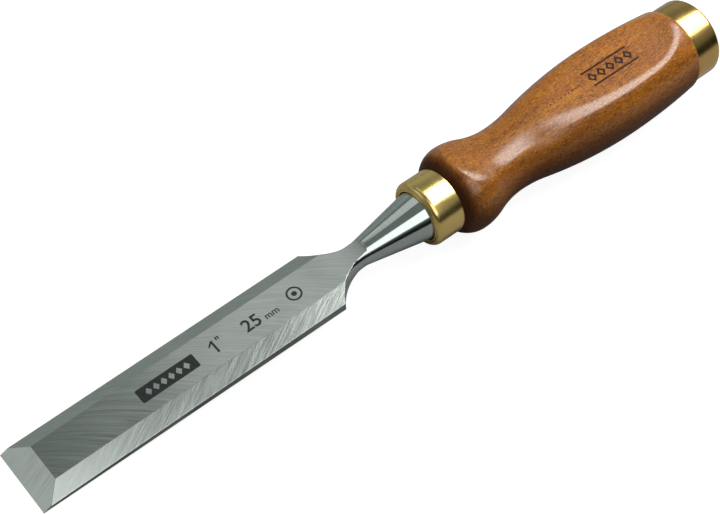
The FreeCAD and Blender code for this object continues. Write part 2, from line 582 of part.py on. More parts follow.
def handle_flat(body):
    """Everything above the handle's upper flat, which hollows at the waist and sweeps up before the hoop."""
    waist = (SIZE["waist_position"], SIZE["flat_waist_height"])
    crest = (SIZE["flat_crest_position"], SIZE["flat_crest_height"])
    front_radius, sweep_radius = SIZE["flat_front_curve"], SIZE["flat_sweep_curve"]
    front_x, rear_x = SIZE["ferrule_front"], SIZE["handle_end"]
    front_angle = math.degrees(math.asin((waist[0] - front_x) / front_radius))
    front_height = waist[1] + front_radius * (1 - math.cos(math.radians(front_angle)))
    sweep = (SIZE["flat_sweep_start"], crest[1])
    sweep_angle = math.degrees(math.asin((rear_x - sweep[0]) / sweep_radius))
    rear_height = crest[1] + sweep_radius * (1 - math.cos(math.radians(sweep_angle)))

    sketch = make_sketch(body, "FlatOutline", "XZ_Plane")
    front = sketch.addGeometry(
        arc((waist[0], waist[1] + front_radius), front_radius, 270 - front_angle, 270), False)
    rear_hollow, rear_crest, ends = wave(sketch, waist, crest, low_radius=SIZE["flat_rear_curve"])
    plateau = sketch.addGeometry(line(crest, sweep), False)
    rise = sketch.addGeometry(
        arc((sweep[0], sweep[1] + sweep_radius), sweep_radius, 270, 270 + sweep_angle), False)
    side = sketch.addGeometry(line((rear_x, rear_height), (rear_x, CUT_ABOVE)), False)
    lid = sketch.addGeometry(line((rear_x, CUT_ABOVE), (front_x, CUT_ABOVE)), False)
    back = sketch.addGeometry(line((front_x, CUT_ABOVE), (front_x, front_height)), False)
    for first, first_end, second, second_end in (
            (front, END, rear_hollow, ends[0]), (rear_crest, ends[1], plateau, START), (rise, END, side, START),
            (side, END, lid, START), (lid, END, back, START), (back, END, front, START)):
        join(sketch, "Coincident", first, first_end, second, second_end)
    join(sketch, "Tangent", plateau, END, rise, START)
    for number in (side, back):
        upright(sketch, number)
    for number in (plateau, lid):
        level(sketch, number)
    pin_point(sketch, front, END, "Sizes.waist_position", "Sizes.flat_waist_height")
    pin_point(sketch, plateau, START, "Sizes.flat_crest_position", "Sizes.flat_crest_height")
    pin(sketch, "DistanceX", (plateau, END), "Sizes.flat_sweep_start")
    pin(sketch, "DistanceX", (side, START), "Sizes.handle_end")
    for number, place in ((front, "waist"), (rear_hollow, "waist"), (rear_crest, "flat_crest")):
        pin(sketch, "DistanceX", (number, CENTRE), f"Sizes.{place}_position")
    for number, radius in ((front, "flat_front_curve"), (rear_hollow, "flat_rear_curve"),
                           (rise, "flat_sweep_curve")):
        pin(sketch, "Radius", (number,), f"Sizes.{radius}")
    pin_point(sketch, lid, END, "Sizes.ferrule_front", str(CUT_ABOVE))
    return cut_through(body, "UpperFlat", sketch)


def build_handle(doc):
    """The wooden handle: turned, flattened above and below, and bored square for the tang."""
    body = make_axis_body(doc, "handle")
    turned = turned_handle(body)
    doc.recompute()
    rear_edge = [f"Edge{number}" for number, edge in enumerate(turned.Shape.Edges, start=1)
                 if edge.Length > math.tau * (SIZE["hoop_radius"] + 0.1)
                 and abs(edge.BoundBox.XMin - SIZE["hoop_front"]) < 1e-3
                 and edge.BoundBox.XLength < 1e-3]
    rounding = body.newObject("PartDesign::Fillet", "RearStepRounding")
    rounding.Base = (turned, rear_edge)
    rounding.setExpression("Radius", "Sizes.handle_rear_rounding")
    doc.recompute()
    before = body.Shape.Volume
    flat = handle_flat(body)
    require_smaller(doc, body, before, "the upper flat")
    before = body.Shape.Volume
    mirrored = body.newObject("PartDesign::Mirrored", "LowerFlat")
    mirrored.Originals = [flat]
    mirrored.MirrorPlane = (origin_plane(body, "XY_Plane"), [""])
    body.Tip = mirrored
    require_smaller(doc, body, before, "the lower flat")
    before = body.Shape.Volume
    root = "Sizes.ferrule_front + Sizes.ferrule_wall"
    gap = 2 * SIZE["tang_clearance"]
    hole = [square_section(body, "HoleMouth", root, SIZE["tang_root"] + gap,
                           "Sizes.tang_root + 2 * Sizes.tang_clearance"),
            square_section(body, "HoleEnd", f"{root} + Sizes.tang_length + Sizes.tang_clearance",
                           SIZE["tang_tip"] + gap, "Sizes.tang_tip + 2 * Sizes.tang_clearance")]
    loft(body, "TangHole", hole, "PartDesign::SubtractiveLoft")
    require_smaller(doc, body, before, "the tang hole")
    return body


# --------------------------------------------------------------------------------------------- the chisel

def check(doc, bodies):
    """Stops on any failed feature and on any sub-part that isn't one sound solid."""
    for item in doc.Objects:
        if {"Invalid", "Error"} & set(item.State):
            raise RuntimeError(f"{item.Name} failed: {item.State}")
    for body in bodies:
        shape = body.Shape
        if shape.isNull() or not shape.isValid() or len(shape.Solids) != 1:
            raise RuntimeError(f"{body.Label} is not one valid solid")


def build():
    doc = FreeCAD.newDocument("BenchChisel")
    make_sheet(doc)
    bodies = [make(doc) for make in (build_blade, build_ferrule, build_handle, build_hoop)]
    doc.recompute()
    check(doc, bodies)
    os.makedirs("parts", exist_ok=True)
    for body in bodies:
        body.Shape.exportStep(f"parts/{body.Label}.step")
        box = body.Shape.BoundBox
        print(f"{body.Label}: volume {body.Shape.Volume:.0f} mm3, "
              f"x {box.XMin:.2f} to {box.XMax:.2f}, y {box.YMin:.2f} to {box.YMax:.2f}, "
              f"z {box.ZMin:.2f} to {box.ZMax:.2f}")


build()
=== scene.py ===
"""Bench chisel: fine meshes, materials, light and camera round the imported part.

The script's unit is the metre. Sizes of the object are written in millimetres and multiplied by MM.
"""

import math

import bmesh
import bpy
from mathutils import Matrix, Vector


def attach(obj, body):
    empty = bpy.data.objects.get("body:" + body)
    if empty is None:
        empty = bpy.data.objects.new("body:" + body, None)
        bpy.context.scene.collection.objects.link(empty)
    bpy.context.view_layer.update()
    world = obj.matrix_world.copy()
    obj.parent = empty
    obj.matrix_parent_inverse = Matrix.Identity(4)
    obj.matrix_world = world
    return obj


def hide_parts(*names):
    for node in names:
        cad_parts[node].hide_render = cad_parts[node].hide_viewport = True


MM = 0.001

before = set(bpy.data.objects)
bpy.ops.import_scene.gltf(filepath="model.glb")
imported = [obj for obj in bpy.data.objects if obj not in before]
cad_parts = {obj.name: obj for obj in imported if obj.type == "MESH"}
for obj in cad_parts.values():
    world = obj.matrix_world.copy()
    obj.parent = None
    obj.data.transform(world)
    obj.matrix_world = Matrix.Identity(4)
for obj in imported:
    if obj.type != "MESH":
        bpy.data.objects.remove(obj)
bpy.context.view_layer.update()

# ----------------------------------------------------------------------- sizes of the object, in mm
# Every position is a distance from the cutting edge along X. BULGE, WAIST and BELLY are positions with
# a radius, FLAT_CREST is one with a height above the axis, and FLAT_SOFTNESS lists positions with the
# width over which the flats' edges are rounded.
AXIS_HEIGHT = 3.7
BLADE_HALF = 12.5
EDGE_SLOPE = math.tan(math.radians(25.0))
EDGE_THICKNESS = 3.65
THICKNESS_SLOPE = (5.7 - EDGE_THICKNESS) / 114.0
BEVEL_WIDTH = 5.5
BEVEL_DROP = 2.4
SHOULDER_RADIUS = 18.5
SHOULDER_END_RADIUS = 4.3
SHOULDER_TILT = math.tan(math.radians(5.7))
NECK_START = 113.0
NECK_START_RADIUS = 3.6
NECK = 129.0
NECK_RADIUS = 4.5
NECK_HOLLOW = 6.0
TOP_RISE_START = 114.0
TOP_END = 130.5
TOP_END_HEIGHT = 7.45
BOLSTER_END = 155.2
BOLSTER_RADIUS = 9.2
RIM_CHAMFER = 0.25
TANG_END = 217.2
TANG_ROOT_HALF = 4.0
TANG_TIP_HALF = 2.0
TANG_CLEARANCE = 0.1
FERRULE_FRONT = 154.0
FERRULE_REAR = 165.5
FERRULE_RADIUS = 12.0
FERRULE_WALL = 1.2
FERRULE_MOUTH = 9.25
TENON_RADIUS = FERRULE_RADIUS - FERRULE_WALL
DOME_FOOT = 11.6
BULGE = (173.0, 16.1)
WAIST = (193.0, 12.35)
BELLY = (244.0, 17.75)
DOME_RADIUS = 9.5
BULGE_CURVE = 22.0
WAIST_CURVE = 55.0
BELLY_CURVE = 270.0
HANDLE_REAR_ROUNDING = 1.2
FLAT_WAIST_HEIGHT = 11.4
FLAT_FRONT_CURVE = 66.0
FLAT_REAR_CURVE = 100.0
FLAT_CREST = (225.0, 13.1)
FLAT_SWEEP_START = 255.5
FLAT_SWEEP_CURVE = 45.0
FLAT_SOFTNESS = ((170.0, 2.0), (178.0, 3.8), (190.0, 3.4), (205.0, 2.8),
                 (225.0, 2.2), (248.0, 1.6), (268.0, 0.8))
HOOP_FRONT = 275.0
HOOP_REAR = 286.5
HOOP_RADIUS = 15.0
HOOP_WALL = 1.3
HANDLE_END = 287.0
END_ROUNDING = 1.0
END_FACE_RINGS = (9.0, 5.0, 2.0)


# ------------------------------------------------------------------------------------ mesh building

def steps(start, end, count):
    """count + 1 evenly spaced values from start to end."""
    return [start + (end - start) * i / count for i in range(count + 1)]


def mix(a, b, share):
    return a + (b - a) * share


def soft_min(a, b, softness):
    """The smaller of two values, rounded where they cross."""
    overlap = max(softness - abs(a - b), 0.0) / softness
    return min(a, b) - overlap * overlap * softness / 4


def arc_points(centre, radius, first, last, count):
    """Points of an arc between two angles in degrees."""
    turns = steps(math.radians(first), math.radians(last), count)
    return [(centre[0] + radius * math.cos(turn), centre[1] + radius * math.sin(turn)) for turn in turns]


def square_reach(angle, half):
    """Distance from the middle of a square to its outline, at this angle from the middle of a side."""
    return half / max(abs(math.cos(angle)), abs(math.sin(angle)))


def solve(function, low, high):
    """The place between low and high where an increasing function passes through zero."""
    for _ in range(50):
        middle = (low + high) / 2
        if function(middle) < 0:
            low = middle
        else:
            high = middle
    return (low + high) / 2


def add_piece(name, bm, materials, node=None):
    """Turns a finished bmesh into a smooth piece that rides on the part."""
    mesh = bpy.data.meshes.new(name)
    bm.to_mesh(mesh)
    bm.free()
    mesh.shade_smooth()
    piece = bpy.data.objects.new(name, mesh)
    bpy.context.scene.collection.objects.link(piece)
    for material in materials:
        piece.data.materials.append(material)
    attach(piece, "root")
    if node:
        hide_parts(node)
    return piece


SAME_POINT = 0.002      # points nearer than this, in mm, are joined


def ring_mesh(rings, finish=None, front_cap=True):
    """Joins rings of points in millimetres, all equally many, into a closed bmesh in metres.

    finish(row, column) gives a face's material number. A first ring that is folded flat needs no cap.
    """
    bm = bmesh.new()
    rows = [[bm.verts.new(Vector(p) * MM) for p in ring] for ring in rings]
    for number, (row, following) in enumerate(zip(rows, rows[1:])):
        for i in range(len(row)):
            j = (i + 1) % len(row)
            face = bm.faces.new((row[i], following[i], following[j], row[j]))
            face.material_index = finish(number, i) if finish else 0
    if front_cap:
        bm.faces.new(rows[0])
    bm.faces.new(list(reversed(rows[-1])))
    bmesh.ops.remove_doubles(bm, verts=bm.verts, dist=SAME_POINT * MM)
    bmesh.ops.recalc_face_normals(bm, faces=bm.faces)
    return bm


def turned_mesh(outline, segments):
    """Turns a closed outline of (x, radius) points in millimetres about the tool's axis."""
    bm = bmesh.new()
    rows = []
    for x, radius in outline:
        row = []
        for angle in steps(0.0, math.tau, segments)[:-1]:
            point = Vector((x, radius * math.cos(angle), AXIS_HEIGHT + radius * math.sin(angle)))
            row.append(bm.verts.new(point * MM))
        rows.append(row)
    for row, following in zip(rows, rows[1:] + rows[:1]):
        for i in range(segments):
            j = (i + 1) % segments
            bm.faces.new((row[i], following[i], following[j], row[j]))
    bmesh.ops.recalc_face_normals(bm, faces=bm.faces)
    return bm


# ---------------------------------------------------------------------------------------- materials

class Nodes:
    """A material's node tree with short calls for the nodes used here."""

    def __init__(self, tree):
        self.tree = tree
        tree.nodes.clear()

    def add(self, kind, inputs=None, **settings):
        node = self.tree.nodes.new(kind)
        for key, value in settings.items():
            setattr(node, key, value)
        for key, value in (inputs or {}).items():
            self.feed(node.inputs[key], value)
        return node

    def feed(self, socket, value):
        """Links another node's output to a socket, or sets its value."""
        if isinstance(value, bpy.types.NodeSocket):
            self.tree.links.new(value, socket)
        else:
            socket.default_value = value

    def math(self, operation, *values, clamp=False):
        node = self.add("ShaderNodeMath", dict(enumerate(values)), operation=operation, use_clamp=clamp)
        return node.outputs[0]

    def span(self, value, low, high, to_low=0.0, to_high=1.0):
        """Smoothly maps low..high to to_low..to_high."""
        node = self.add("ShaderNodeMapRange", {"Value": value, "From Min": low, "From Max": high,
                                               "To Min": to_low, "To Max": to_high},
                        interpolation_type="SMOOTHSTEP")
        return node.outputs["Result"]

    def noise(self, vector, scale, detail=2.0, roughness=0.5, distortion=0.0):
        node = self.add("ShaderNodeTexNoise", {"Vector": vector, "Scale": scale, "Detail": detail,
                                               "Roughness": roughness, "Distortion": distortion})
        return node.outputs["Fac"]

    def place(self, vector, rotation=(0, 0, 0), scale=(1, 1, 1)):
        node = self.add("ShaderNodeMapping", {"Vector": vector, "Rotation": rotation, "Scale": scale})
        return node.outputs["Vector"]

    def parts(self, vector):
        node = self.add("ShaderNodeSeparateXYZ", {"Vector": vector})
        return node.outputs["X"], node.outputs["Y"], node.outputs["Z"]

    def vector(self, x, y, z):
        return self.add("ShaderNodeCombineXYZ", {"X": x, "Y": y, "Z": z}).outputs["Vector"]

    def blend(self, share, first, second):
        node = self.add("ShaderNodeMix", data_type="RGBA")
        share_input, first_input, second_input = node.inputs[0], node.inputs[6], node.inputs[7]
        for socket, value in ((share_input, share), (first_input, first), (second_input, second)):
            self.feed(socket, value)
        return node.outputs[2]

    def ramp(self, value, stops):
        node = self.add("ShaderNodeValToRGB", {"Fac": value})
        ramp = node.color_ramp
        while len(ramp.elements) < len(stops):
            ramp.elements.new(0.5)
        for element, (place, colour) in zip(ramp.elements, stops):
            element.position = place
            element.color = colour
        return node.outputs["Color"]

    def bump(self, height, strength, distance):
        node = self.add("ShaderNodeBump", {"Height": height, "Strength": strength, "Distance": distance})
        return node.outputs["Normal"]


# Depth of the materials' fine relief
GRINDING_DEPTH = 0.02 * MM
POLISHING_DEPTH = 0.01 * MM
GRAIN_DEPTH = 0.06 * MM


def grey(value):
    return (value, value, value, 1.0)


def new_material(name):
    material = bpy.data.materials.new(name)
    material.use_nodes = True
    return material, Nodes(material.node_tree)


def object_place(n):
    return n.add("ShaderNodeTexCoord").outputs["Object"]


def straight_lines(n, degrees):
    """Coordinates whose second axis runs across lines drawn at this angle to X, seen from above."""
    return n.place(object_place(n), rotation=(0, 0, math.radians(-degrees)))


# The grinding wheel left arcs of this radius on the top face, in mm. Their centres lie WHEEL_OFFSET
# beside the blade's middle line.
WHEEL_RADIUS = 75.0
WHEEL_OFFSET = 57.6


def curved_lines(n):
    """Coordinates whose second axis runs across the grinding wheel's arcs."""
    x, y, z = n.parts(object_place(n))
    shifted = n.math("ADD", y, WHEEL_OFFSET * MM)
    reach = n.math("SUBTRACT", (WHEEL_RADIUS * MM) ** 2, n.math("MULTIPLY", shifted, shifted))
    across = n.math("SUBTRACT", x, n.math("SQRT", n.math("MAXIMUM", reach, 0.0)))
    return n.vector(y, across, z)


def ground_steel(name, lines, tone, contrast, roughness, crossing=None, relief=0.2):
    """Greenish grey steel with fine grinding lines.

    lines(n) gives the coordinates along and across the lines. crossing is the angle in degrees of a
    fainter second set.
    """
    material, n = new_material(name)
    along = lines(n)
    coarse = n.noise(n.place(along, scale=(60, 1900, 60)), 1.0, detail=2.0, roughness=0.55)
    fine = n.noise(n.place(along, scale=(90, 3900, 160)), 1.0, detail=1.0)
    streaks = n.math("MULTIPLY_ADD", fine, 0.5, n.math("MULTIPLY", coarse, 0.5))
    if crossing is not None:
        second = n.noise(n.place(straight_lines(n, crossing), scale=(60, 2800, 60)), 1.0, detail=1.0)
        streaks = n.math("MULTIPLY_ADD", second, 0.20, n.math("MULTIPLY", streaks, 0.80))
    blotches = n.noise(object_place(n), 55.0, detail=2.0)
    share = n.math("MULTIPLY_ADD", blotches, 0.25, n.math("MULTIPLY", streaks, 0.75))
    dark = tuple(c * (1 - contrast) for c in tone)
    light = tuple(c * (1 + contrast) for c in tone)
    colour = n.ramp(share, [(0.36, dark + (1,)), (0.5, tone + (1,)), (0.64, light + (1,))])
    shader = n.add("ShaderNodeBsdfPrincipled", {
        "Base Color": colour, "Metallic": 1.0,
        "Roughness": n.span(streaks, 0.35, 0.65, roughness * 0.85, roughness * 1.15),
        "Normal": n.bump(streaks, relief, GRINDING_DEPTH)})
    n.add("ShaderNodeOutputMaterial", {"Surface": shader.outputs[0]})
    return material


TARNISH = (0.48, 0.34, 0.13, 1)


def satin_brass(name, dark, light):
    """Turned brass: fine rings round the axis, faint smears and a little tarnish."""
    material, n = new_material(name)
    place = object_place(n)
    rings = n.noise(n.place(place, scale=(5200, 25, 25)), 1.0, detail=3.0, roughness=0.6)
    smears = n.noise(place, 160.0, detail=3.0)
    tarnish = n.span(n.noise(place, 180.0, detail=4.0), 0.50, 0.80)
    colour = n.ramp(rings, [(0.32, dark + (1,)), (0.68, light + (1,))])
    colour = n.blend(n.math("MULTIPLY", tarnish, 0.14), colour, TARNISH)
    shader = n.add("ShaderNodeBsdfPrincipled", {
        "Base Color": colour, "Metallic": 1.0, "Roughness": n.span(smears, 0.3, 0.7, 0.19, 0.23),
        "Normal": n.bump(rings, 0.18, GRINDING_DEPTH)})
    n.add("ShaderNodeOutputMaterial", {"Surface": shader.outputs[0]})
    return material


# Colour of the darkest stain, also used for the painted shade on the underside, and where the stain
# fades out behind the ferrule and the painted shade fades out up the sides
DARK_STAIN_AND_SHADE = (0.046, 0.009, 0.002, 1)
STAIN_START = FERRULE_REAR + 0.5
STAIN_END = BULGE[0] - 2.0
PAINTED_SHADE_FULL_HEIGHT = AXIS_HEIGHT - 4.0
PAINTED_SHADE_END_HEIGHT = AXIS_HEIGHT + 12.5


def stained_beech():
    """Varnished beech with short flecks along the grain.

    It is darker where the stain gathered behind the ferrule, and has painted shade on the underside.
    """
    material, n = new_material("stained_beech")
    place = object_place(n)
    x, _, z = n.parts(place)
    grain = n.noise(n.place(place, scale=(26, 330, 330)), 1.0,
                    detail=5.0, roughness=0.6, distortion=0.3)
    flecks = n.noise(n.place(place, scale=(520, 2400, 2400)), 1.0, detail=2.0)
    speckle = n.noise(place, 1700.0, detail=3.0, roughness=0.6)
    glints = n.noise(n.place(place, scale=(1000, 2000, 2000)), 1.0, detail=2.0)
    clouds = n.noise(n.place(place, scale=(60, 110, 110)), 1.0, detail=2.0)
    colour = n.ramp(grain, [(0.30, (0.31, 0.086, 0.004, 1)), (0.52, (0.47, 0.148, 0.008, 1)),
                            (0.72, (0.63, 0.230, 0.018, 1))])
    colour = n.blend(n.span(clouds, 0.35, 0.7, 0.0, 0.4), colour, (0.27, 0.074, 0.006, 1))
    colour = n.blend(n.span(glints, 0.51, 0.68, 0.0, 0.80), colour, (0.62, 0.255, 0.030, 1))
    colour = n.blend(n.span(flecks, 0.53, 0.67, 0.0, 0.80), colour, (0.10, 0.026, 0.005, 1))
    colour = n.blend(n.span(speckle, 0.46, 0.67, 0.0, 0.58), colour, (0.13, 0.038, 0.007, 1))
    stain = n.span(x, STAIN_START * MM, STAIN_END * MM, 0.92, 0.0)
    # Painted shade: the underside is blended towards the dark stain colour, fading out up the sides
    painted_underside_shade = n.span(z, PAINTED_SHADE_FULL_HEIGHT * MM, PAINTED_SHADE_END_HEIGHT * MM, 0.86, 0.0)
    stain_and_shade = n.math("MAXIMUM", stain, painted_underside_shade)
    # Blends in the real stain behind the ferrule and the painted shade on the underside
    colour = n.blend(stain_and_shade, colour, DARK_STAIN_AND_SHADE)
    surface = n.math("MULTIPLY_ADD", grain, 0.5, n.math("MULTIPLY", flecks, -0.5))
    shader = n.add("ShaderNodeBsdfPrincipled", {
        "Base Color": colour, "Specular IOR Level": 0.12,
        "Roughness": n.span(speckle, 0.3, 0.7, 0.42, 0.58),
        "Normal": n.bump(surface, 0.30, GRAIN_DEPTH),
        "Coat Weight": n.span(stain_and_shade, 0.05, 0.60, 1.0, 0.08), "Coat IOR": 1.55,
        "Coat Roughness": n.span(speckle, 0.3, 0.7, 0.19, 0.27),
        "Coat Normal": n.bump(surface, 0.18, GRAIN_DEPTH)})
    n.add("ShaderNodeOutputMaterial", {"Surface": shader.outputs[0]})
    return material


def polished_steel():
    """Polished neck and bolster: faint turning rings and wiping smears."""
    material, n = new_material("polished_steel")
    place = object_place(n)
    smears = n.noise(n.place(place, scale=(60, 160, 160)), 1.0, detail=3.0)
    rings = n.noise(n.place(place, scale=(3600, 20, 20)), 1.0, detail=2.0)
    colour = n.ramp(rings, [(0.3, (0.50, 0.55, 0.53, 1)), (0.7, (0.60, 0.65, 0.63, 1))])
    shader = n.add("ShaderNodeBsdfPrincipled", {
        "Base Color": colour, "Metallic": 1.0, "Roughness": n.span(smears, 0.3, 0.7, 0.06, 0.12),
        "Normal": n.bump(rings, 0.10, POLISHING_DEPTH)})
    n.add("ShaderNodeOutputMaterial", {"Surface": shader.outputs[0]})
    return material


def mark_material(name, dark, light, roughness, metallic):
    """A dull dark mark with a grainy surface."""
    material, n = new_material(name)
    grain = n.noise(object_place(n), 2600.0, detail=3.0)
    shader = n.add("ShaderNodeBsdfPrincipled", {
        "Base Color": n.ramp(grain, [(0.3, dark + (1,)), (0.7, light + (1,))]),
        "Metallic": metallic, "Roughness": roughness, "Specular IOR Level": 0.15,
        "Normal": n.bump(grain, 0.2, POLISHING_DEPTH)})
    n.add("ShaderNodeOutputMaterial", {"Surface": shader.outputs[0]})
    return material


def slanted(degrees):
    """The lines that ground_steel() needs, at this angle to X."""
    return lambda n: straight_lines(n, degrees)


STEEL_TONE = (0.53, 0.565, 0.54)
EDGE_TONE = (0.56, 0.60, 0.57)
LAND_TONE = (0.30, 0.32, 0.30)
FACE_STEEL = ground_steel("face_steel", curved_lines, STEEL_TONE,
                          contrast=0.18, roughness=0.23, relief=0.03)
NEAR_BEVEL_STEEL = ground_steel("near_bevel_steel", slanted(27.0), STEEL_TONE,
                                contrast=0.10, roughness=0.24, crossing=50.0, relief=0.012)
FAR_BEVEL_STEEL = ground_steel("far_bevel_steel", slanted(-27.0), STEEL_TONE,
                               contrast=0.14, roughness=0.23, crossing=-50.0, relief=0.08)
EDGE_STEEL = ground_steel("edge_steel", slanted(12.0), EDGE_TONE, contrast=0.16, roughness=0.22)
BACK_STEEL = ground_steel("back_steel", slanted(90.0), STEEL_TONE, contrast=0.14, roughness=0.24)
LAND_STEEL = ground_steel("land_steel", slanted(0.0), LAND_TONE, contrast=0.30, roughness=0.32)
POLISHED = polished_steel()
FERRULE_BRASS = satin_brass("satin_brass", dark=(0.92, 0.635, 0.22), light=(1.0, 0.735, 0.275))
# The hoop's brass is a darker, browner copy of the ferrule's: painted shade
SHADED_HOOP_BRASS = satin_brass("shaded_brass", dark=(0.64, 0.395, 0.128), light=(0.73, 0.475, 0.162))
BEECH = stained_beech()
ETCHED = mark_material("etched_mark", dark=(0.030, 0.034, 0.032), light=(0.060, 0.066, 0.062),
                       roughness=0.5, metallic=0.4)
BURNT = mark_material("burnt_mark", dark=(0.030, 0.010, 0.005), light=(0.060, 0.022, 0.009),
                      roughness=0.6, metallic=0.0)


# --------------------------------------------------------------------------------------- the handle

def wave(low, high, low_radius=None, high_radius=None):
    """The S of two arcs between a hollow at low and a crest at high, as a function of x.

    One radius is given, and the other follows from it.
    """
    run, rise = high[0] - low[0], high[1] - low[1]
    total = (run ** 2 + rise ** 2) / (2 * rise)
    low_radius = low_radius or total - high_radius
    high_radius = total - low_radius
    meeting = low[0] + run * low_radius / total

    def height(x):
        if (x - meeting) * run < 0:
            return low[1] + low_radius - math.sqrt(low_radius ** 2 - (x - low[0]) ** 2)
        return high[1] - high_radius + math.sqrt(high_radius ** 2 - (x - high[0]) ** 2)
    return height


flat_rear = wave((WAIST[0], FLAT_WAIST_HEIGHT), FLAT_CREST, low_radius=FLAT_REAR_CURVE)


def flat_height(x):
    """Height of the handle's flats above the axis."""
    if x < WAIST[0]:
        along = x - WAIST[0]
        return FLAT_WAIST_HEIGHT + FLAT_FRONT_CURVE - math.sqrt(FLAT_FRONT_CURVE ** 2 - along ** 2)
    if x < FLAT_CREST[0]:
        return flat_rear(x)
    along = max(x - FLAT_SWEEP_START, 0.0)
    return FLAT_CREST[1] + FLAT_SWEEP_CURVE - math.sqrt(FLAT_SWEEP_CURVE ** 2 - along ** 2)


def flat_softness(x):
    """How far the flats' edges are rounded: most between the bulge and the waist, least at the rear."""
    if x <= FLAT_SOFTNESS[0][0]:
        return FLAT_SOFTNESS[0][1]
    for (start, first), (end, second) in zip(FLAT_SOFTNESS, FLAT_SOFTNESS[1:]):
        if x <= end:
            return mix(first, second, (x - start) / (end - start))
    return FLAT_SOFTNESS[-1][1]


def handle_outline():
    """The handle's turned outline as (x, radius), from the tenon to the middle of the struck end."""
    centre = (BULGE[0], BULGE[1] - DOME_RADIUS)
    foot_angle = math.degrees(math.acos((FERRULE_REAR - centre[0]) / DOME_RADIUS))
    points = [(FERRULE_REAR, TENON_RADIUS), (FERRULE_REAR, DOME_FOOT)]
    points += arc_points(centre, DOME_RADIUS, foot_angle, 90.0, 40)
    front = wave(WAIST, BULGE, high_radius=BULGE_CURVE)
    rear = wave(WAIST, BELLY, low_radius=WAIST_CURVE)
    points += [(x, front(x)) for x in steps(BULGE[0], WAIST[0], 36)[1:]]
    points += [(x, rear(x)) for x in steps(WAIST[0], BELLY[0], 64)[1:]]
    end = HOOP_FRONT - HANDLE_REAR_ROUNDING

    def belly(x):
        return BELLY[1] - BELLY_CURVE + math.sqrt(BELLY_CURVE ** 2 - (x - BELLY[0]) ** 2)

    points += [(x, belly(x)) for x in steps(BELLY[0], end, 40)[1:]]
    shoulder = (end, belly(end) - HANDLE_REAR_ROUNDING)
    points += arc_points(shoulder, HANDLE_REAR_ROUNDING, 84.0, 0.0, 10)[1:]
    spigot = HOOP_RADIUS - HOOP_WALL
    points += [(HOOP_FRONT, spigot), (HANDLE_END - END_ROUNDING, spigot)]
    corner = (HANDLE_END - END_ROUNDING, spigot - END_ROUNDING)
    points += arc_points(corner, END_ROUNDING, 90.0, 0.0, 8)[1:]
    points += [(HANDLE_END, radius) for radius in END_FACE_RINGS]
    return points


def handle_mesh():
    """The whole handle. The rings' columns crowd towards the flats' edges."""
    quarter_flat, quarter_side, crowding = 22, 26, 1.4
    least_flat = math.radians(18.0)

    def angles(edge):
        """Angles from the upper flat's normal round the whole ring, for flats that end at this angle."""
        flat = [edge * (1 - (1 - i / quarter_flat) ** crowding) for i in range(quarter_flat)]
        rest = math.pi / 2 - edge
        side = [edge + rest * (i / quarter_side) ** crowding for i in range(quarter_side)]
        quarter = flat + side
        half = quarter + [math.pi / 2] + [math.pi - a for a in reversed(quarter[1:])]
        return half + [math.pi + a for a in half]

    rings = []
    for x, radius in handle_outline():
        height = flat_height(x)
        edge = max(math.acos(min(height / radius, 1.0)), least_flat)
        ring = []
        for angle in angles(edge):
            reach = height / max(abs(math.cos(angle)), 1e-3)
            r = soft_min(radius, reach, flat_softness(x))
            ring.append((x, -r * math.sin(angle), AXIS_HEIGHT + r * math.cos(angle)))
        rings.append(ring)

    def round_ring(x, radius, square=False):
        """A ring of the tenon or of the tang's hole, with as many points as the others."""
        ring = []
        for angle in angles(math.pi / 4):
            r = square_reach(angle, radius) if square else radius
            ring.append((x, -r * math.sin(angle), AXIS_HEIGHT + r * math.cos(angle)))
        return ring

    hole = [round_ring(TANG_END + TANG_CLEARANCE, TANG_TIP_HALF + TANG_CLEARANCE, square=True),
            round_ring(BOLSTER_END, TANG_ROOT_HALF + TANG_CLEARANCE, square=True),
            round_ring(BOLSTER_END, TENON_RADIUS)]
    return ring_mesh(hole + rings)


add_piece("turned_handle", handle_mesh(), [BEECH], "handle")


# --------------------------------------------------------------------------------- ferrule and hoop

def ferrule_outline():
    """The cup's closed outline: a rolled front edge, an eased rear edge and a bead round the mouth."""
    front, rear, outer = FERRULE_FRONT, FERRULE_REAR, FERRULE_RADIUS
    seat = FERRULE_FRONT + FERRULE_WALL
    rolled, eased, bead, mouth_chamfer = 2.0, 0.25, 0.42, 0.15
    points = arc_points((front + rolled, outer - rolled), rolled, 171.0, 90.0, 14)
    points += arc_points((rear - eased, outer - eased), eased, 90.0, 0.0, 4)
    points += [(rear, TENON_RADIUS), (seat, TENON_RADIUS), (seat, FERRULE_MOUTH + mouth_chamfer)]
    points += arc_points((front + bead, FERRULE_MOUTH + bead), bead, 270.0, 95.0, 12)
    return points


def hoop_outline():
    """The ring's closed outline: an eased front edge and a rolled rear edge."""
    front, rear, outer, inner = HOOP_FRONT, HOOP_REAR, HOOP_RADIUS, HOOP_RADIUS - HOOP_WALL
    rolled, eased = 1.1, 0.25
    points = arc_points((front + eased, outer - eased), eased, 180.0, 90.0, 4)
    points += arc_points((rear - rolled, outer - rolled), rolled, 90.0, 0.0, 10)
    points += [(rear, inner), (front, inner)]
    return points


BRASS_SEGMENTS = 160
ferrule = turned_mesh(ferrule_outline(), BRASS_SEGMENTS)
add_piece("ferrule_cup", ferrule, [FERRULE_BRASS], "front_ferrule")
hoop = turned_mesh(hoop_outline(), BRASS_SEGMENTS)
add_piece("struck_hoop", hoop, [SHADED_HOOP_BRASS], "end_hoop")


# ---------------------------------------------------------------------------------------- the blade

